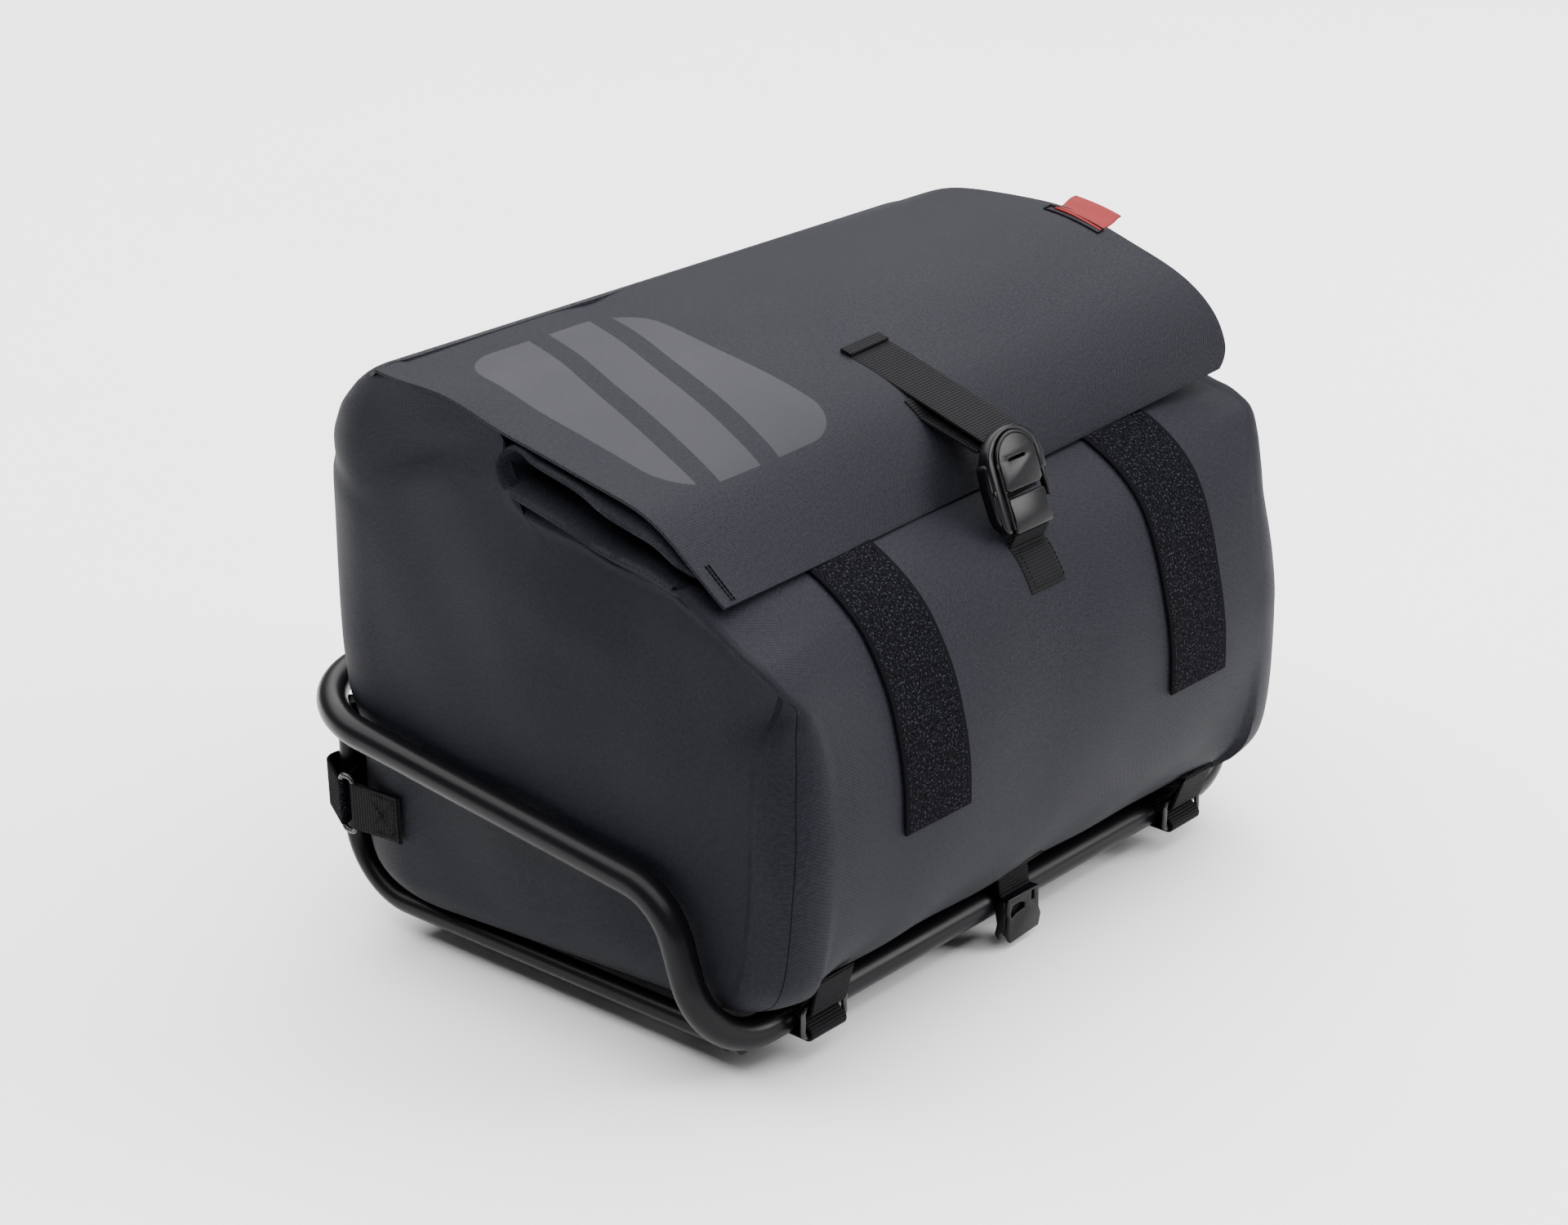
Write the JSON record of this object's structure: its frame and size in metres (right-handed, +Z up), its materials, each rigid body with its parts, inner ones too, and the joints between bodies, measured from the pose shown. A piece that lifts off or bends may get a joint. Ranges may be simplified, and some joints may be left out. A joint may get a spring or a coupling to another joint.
{
  "type": "front tray bag on tube tray",
  "caption": "Boxy fold-over cloth bag with a buckled flap and hook-and-loop strips, strapped into a tray of bent black tube.",
  "frame": {"origin": "centre of the object's bounding box in plan, on the floor under the base skids", "axes": "+X across the bag's width to its right side as seen from behind the bag's front, +Z up, -Y out of the bag's front"},
  "size_m": [0.442, 0.348, 0.3266],
  "materials": {
    "tube": "satin black powder coat",
    "cloth": "matte charcoal coated woven cloth",
    "loop_pile": "black hook-and-loop pile",
    "webbing": "black woven webbing",
    "fitting": "satin black moulded plastic",
    "ring_wire": "black painted wire",
    "label_cloth": "plain red woven label"
  },
  "bodies": {
    "root": {"rim_hoop": "tube", "base_frame": "tube", "bag_shell": "cloth", "closing_flap": "cloth", "gusset_fold_left": "cloth", "gusset_fold_right": "cloth", "loop_strip_left": "loop_pile", "loop_strip_right": "loop_pile", "front_strap": "webbing", "strap_end": "webbing", "anchor_webbing": "webbing", "buckle_frame": "fitting", "buckle_tab": "fitting", "buckle_plate": "fitting", "rail_strap_left": "webbing", "rail_tab_left": "webbing", "rail_ring_left": "ring_wire", "rail_strap_right": "webbing", "rail_tab_right": "webbing", "rail_ring_right": "ring_wire", "post_strap_left": "loop_pile", "post_tab_left": "webbing", "post_ring_left": "ring_wire", "post_strap_right": "loop_pile", "post_tab_right": "webbing", "post_ring_right": "ring_wire", "clip_plate": "fitting", "clip_webbing": "webbing", "side_tag": "label_cloth"}
  },
  "joints": []
}
